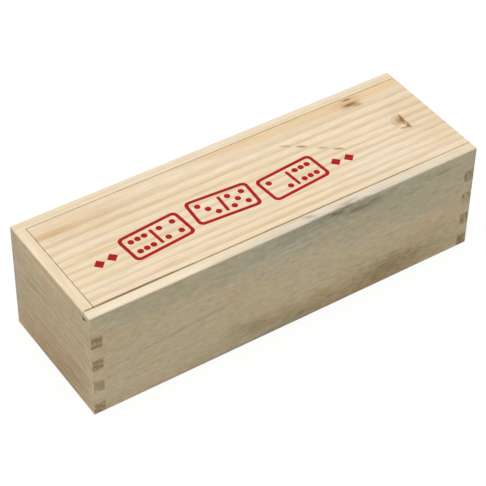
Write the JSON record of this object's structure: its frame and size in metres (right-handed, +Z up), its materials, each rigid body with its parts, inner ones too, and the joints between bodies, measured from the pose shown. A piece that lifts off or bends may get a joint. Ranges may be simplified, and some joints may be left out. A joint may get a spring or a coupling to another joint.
{
  "type": "domino storage box",
  "caption": "Small finger-jointed pine box for a set of dominoes, with a grooved lid that slides out over the lower end board.",
  "frame": {"origin": "centre of the box's underside, on the surface that it stands on", "axes": "+X along the box's length, towards the open end, the way the lid slides out; +Y across, from the front side to the back side; +Z up"},
  "size_m": [0.18, 0.06, 0.051],
  "materials": {
    "pine_side": "bare sanded pine",
    "pine_end": "bare sanded pine",
    "pine_lid": "bare sanded pine",
    "plywood": "bare plywood"
  },
  "bodies": {
    "box": {"front_side": "pine_side", "back_side": "pine_side", "closed_end": "pine_end", "open_end": "pine_end", "base_panel": "plywood"},
    "lid": {"sliding_lid": "pine_lid"}
  },
  "joints": [
    {"name": "lid_slide", "type": "slide", "parent": "box", "child": "lid", "axis": [1, 0, 0], "range_m": [0, 0.177]}
  ]
}
